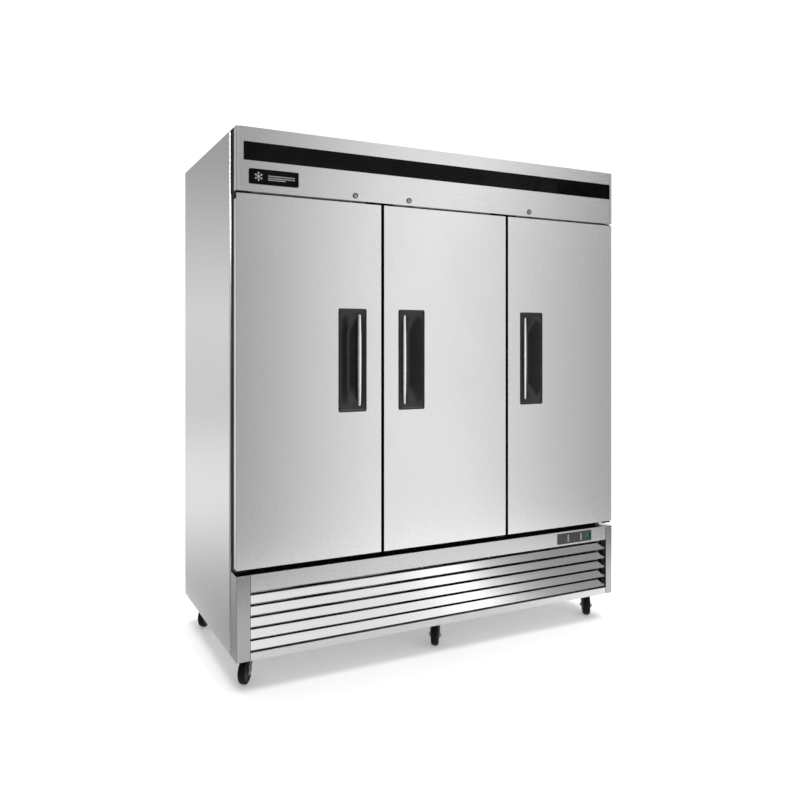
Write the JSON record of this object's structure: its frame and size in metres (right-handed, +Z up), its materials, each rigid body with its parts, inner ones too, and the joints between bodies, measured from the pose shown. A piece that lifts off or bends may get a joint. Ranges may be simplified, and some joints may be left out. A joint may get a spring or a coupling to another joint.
{
  "type": "reach-in refrigerator",
  "caption": "Upright commercial refrigerator with side-by-side solid doors, recessed handles, louvred base and swivel casters.",
  "frame": {"origin": "on the floor under the middle of the cabinet's bounding box", "axes": "+Z up, -Y out of the doors' front, +X to the right seen from the front"},
  "size_m": [1.88, 0.75, 2.108],
  "materials": {
    "stainless": "brushed",
    "liner_metal": "satin",
    "zinc_steel": "zinc plated",
    "black_gloss": "gloss",
    "dark_plastic": "fine grain",
    "gasket_rubber": "matt",
    "caster_tread": "matt",
    "coated_wire": "plastic coat",
    "black_paint": "satin",
    "fin_metal": "mill",
    "green_plastic": "gloss"
  },
  "bodies": {
    "cabinet": {"side_panel_left": "stainless", "side_panel_right": "stainless", "top_panel": "stainless", "back_panel": "zinc_steel", "inner_body": "liner_metal", "front_frame": "stainless", "header_panel": "stainless", "header_strip": "black_gloss", "plain_plate": "black_gloss", "bottom_pan": "zinc_steel", "base_panel": "stainless", "louvre_panel": "stainless", "controller": "black_gloss", "compressor": "black_paint", "condenser_coil": "fin_metal", "fan_shroud": "dark_plastic", "evaporator_coil": "fin_metal", "evaporator_cover": "liner_metal", "hinge_upper_left": "black_paint", "hinge_lower_left": "black_paint", "hinge_upper_middle": "black_paint", "hinge_lower_middle": "black_paint", "hinge_upper_right": "black_paint", "hinge_lower_right": "black_paint", "shelf_left_1": "coated_wire", "shelf_left_2": "coated_wire", "shelf_left_3": "coated_wire", "shelf_middle_1": "coated_wire", "shelf_middle_2": "coated_wire", "shelf_middle_3": "coated_wire", "shelf_right_1": "coated_wire", "shelf_right_2": "coated_wire", "shelf_right_3": "coated_wire"},
    "door_left": {"door_left": "stainless", "gasket_left": "gasket_rubber", "handle_left": "dark_plastic"},
    "lock_left": {"lock_left": "zinc_steel"},
    "door_middle": {"door_middle": "stainless", "gasket_middle": "gasket_rubber", "handle_middle": "dark_plastic"},
    "lock_middle": {"lock_middle": "zinc_steel"},
    "door_right": {"door_right": "stainless", "gasket_right": "gasket_rubber", "handle_right": "dark_plastic"},
    "lock_right": {"lock_right": "zinc_steel"},
    "power_switch": {"power_switch": "green_plastic"},
    "condenser_fan": {"condenser_fan": "dark_plastic"},
    "evaporator_fan": {"evaporator_fan": "dark_plastic"},
    "fork_left_front": {"caster_fork_left_front": "zinc_steel"},
    "wheel_left_front": {"caster_wheel_left_front": "caster_tread"},
    "fork_left_rear": {"caster_fork_left_rear": "zinc_steel"},
    "wheel_left_rear": {"caster_wheel_left_rear": "caster_tread"},
    "fork_middle_front": {"caster_fork_middle_front": "zinc_steel"},
    "wheel_middle_front": {"caster_wheel_middle_front": "caster_tread"},
    "fork_middle_rear": {"caster_fork_middle_rear": "zinc_steel"},
    "wheel_middle_rear": {"caster_wheel_middle_rear": "caster_tread"},
    "fork_right_front": {"caster_fork_right_front": "zinc_steel"},
    "wheel_right_front": {"caster_wheel_right_front": "caster_tread"},
    "fork_right_rear": {"caster_fork_right_rear": "zinc_steel"},
    "wheel_right_rear": {"caster_wheel_right_rear": "caster_tread"}
  },
  "joints": [
    {"name": "door_left_hinge", "type": "hinge", "parent": "cabinet", "child": "door_left", "pos_m": [-0.925, -0.354, 1.16], "axis": [0, 0, -1], "range_deg": [0, 105]},
    {"name": "lock_left_turn", "type": "hinge", "parent": "cabinet", "child": "lock_left", "pos_m": [-0.44033, -0.362, 1.889], "axis": [0, 1, 0], "range_deg": [0, 90]},
    {"name": "door_middle_hinge", "type": "hinge", "parent": "cabinet", "child": "door_middle", "pos_m": [0.29433, -0.354, 1.16], "axis": [0, 0, 1], "range_deg": [0, 105]},
    {"name": "lock_middle_turn", "type": "hinge", "parent": "cabinet", "child": "lock_middle", "pos_m": [-0.19033, -0.362, 1.889], "axis": [0, 1, 0], "range_deg": [0, 90]},
    {"name": "door_right_hinge", "type": "hinge", "parent": "cabinet", "child": "door_right", "pos_m": [0.925, -0.354, 1.16], "axis": [0, 0, 1], "range_deg": [0, 105]},
    {"name": "lock_right_turn", "type": "hinge", "parent": "cabinet", "child": "lock_right", "pos_m": [0.44033, -0.362, 1.889], "axis": [0, 1, 0], "range_deg": [0, 90]},
    {"name": "power_switch_rock", "type": "hinge", "parent": "cabinet", "child": "power_switch", "pos_m": [0.783, -0.364, 0.407], "axis": [0, 0, -1], "range_deg": [0, 14]},
    {"name": "condenser_fan_spin", "type": "hinge", "parent": "cabinet", "child": "condenser_fan", "pos_m": [0.145, -0.124, 0.26165], "axis": [0, 1, 0], "continuous": true},
    {"name": "evaporator_fan_spin", "type": "hinge", "parent": "cabinet", "child": "evaporator_fan", "pos_m": [0, -0.07, 1.83], "axis": [0, 0, 1], "continuous": true},
    {"name": "left_front_swivel", "type": "hinge", "parent": "cabinet", "child": "fork_left_front", "pos_m": [-0.852, -0.262, 0.11], "axis": [0, 0, 1], "continuous": true},
    {"name": "left_front_roll", "type": "hinge", "parent": "fork_left_front", "child": "wheel_left_front", "pos_m": [-0.879, -0.29417, 0.045], "axis": [0.766, -0.6428, 0], "continuous": true},
    {"name": "left_rear_swivel", "type": "hinge", "parent": "cabinet", "child": "fork_left_rear", "pos_m": [-0.852, 0.296, 0.11], "axis": [0, 0, 1], "continuous": true},
    {"name": "left_rear_roll", "type": "hinge", "parent": "fork_left_rear", "child": "wheel_left_rear", "pos_m": [-0.879, 0.26383, 0.045], "axis": [0.766, -0.6428, 0], "continuous": true},
    {"name": "middle_front_swivel", "type": "hinge", "parent": "cabinet", "child": "fork_middle_front", "pos_m": [0.02, -0.262, 0.11], "axis": [0, 0, 1], "continuous": true},
    {"name": "middle_front_roll", "type": "hinge", "parent": "fork_middle_front", "child": "wheel_middle_front", "pos_m": [-0.007, -0.29417, 0.045], "axis": [0.766, -0.6428, 0], "continuous": true},
    {"name": "middle_rear_swivel", "type": "hinge", "parent": "cabinet", "child": "fork_middle_rear", "pos_m": [0.02, 0.296, 0.11], "axis": [0, 0, 1], "continuous": true},
    {"name": "middle_rear_roll", "type": "hinge", "parent": "fork_middle_rear", "child": "wheel_middle_rear", "pos_m": [-0.007, 0.26383, 0.045], "axis": [0.766, -0.6428, 0], "continuous": true},
    {"name": "right_front_swivel", "type": "hinge", "parent": "cabinet", "child": "fork_right_front", "pos_m": [0.888, -0.262, 0.11], "axis": [0, 0, 1], "continuous": true},
    {"name": "right_front_roll", "type": "hinge", "parent": "fork_right_front", "child": "wheel_right_front", "pos_m": [0.861, -0.29417, 0.045], "axis": [0.766, -0.6428, 0], "continuous": true},
    {"name": "right_rear_swivel", "type": "hinge", "parent": "cabinet", "child": "fork_right_rear", "pos_m": [0.888, 0.296, 0.11], "axis": [0, 0, 1], "continuous": true},
    {"name": "right_rear_roll", "type": "hinge", "parent": "fork_right_rear", "child": "wheel_right_rear", "pos_m": [0.861, 0.26383, 0.045], "axis": [0.766, -0.6428, 0], "continuous": true}
  ]
}
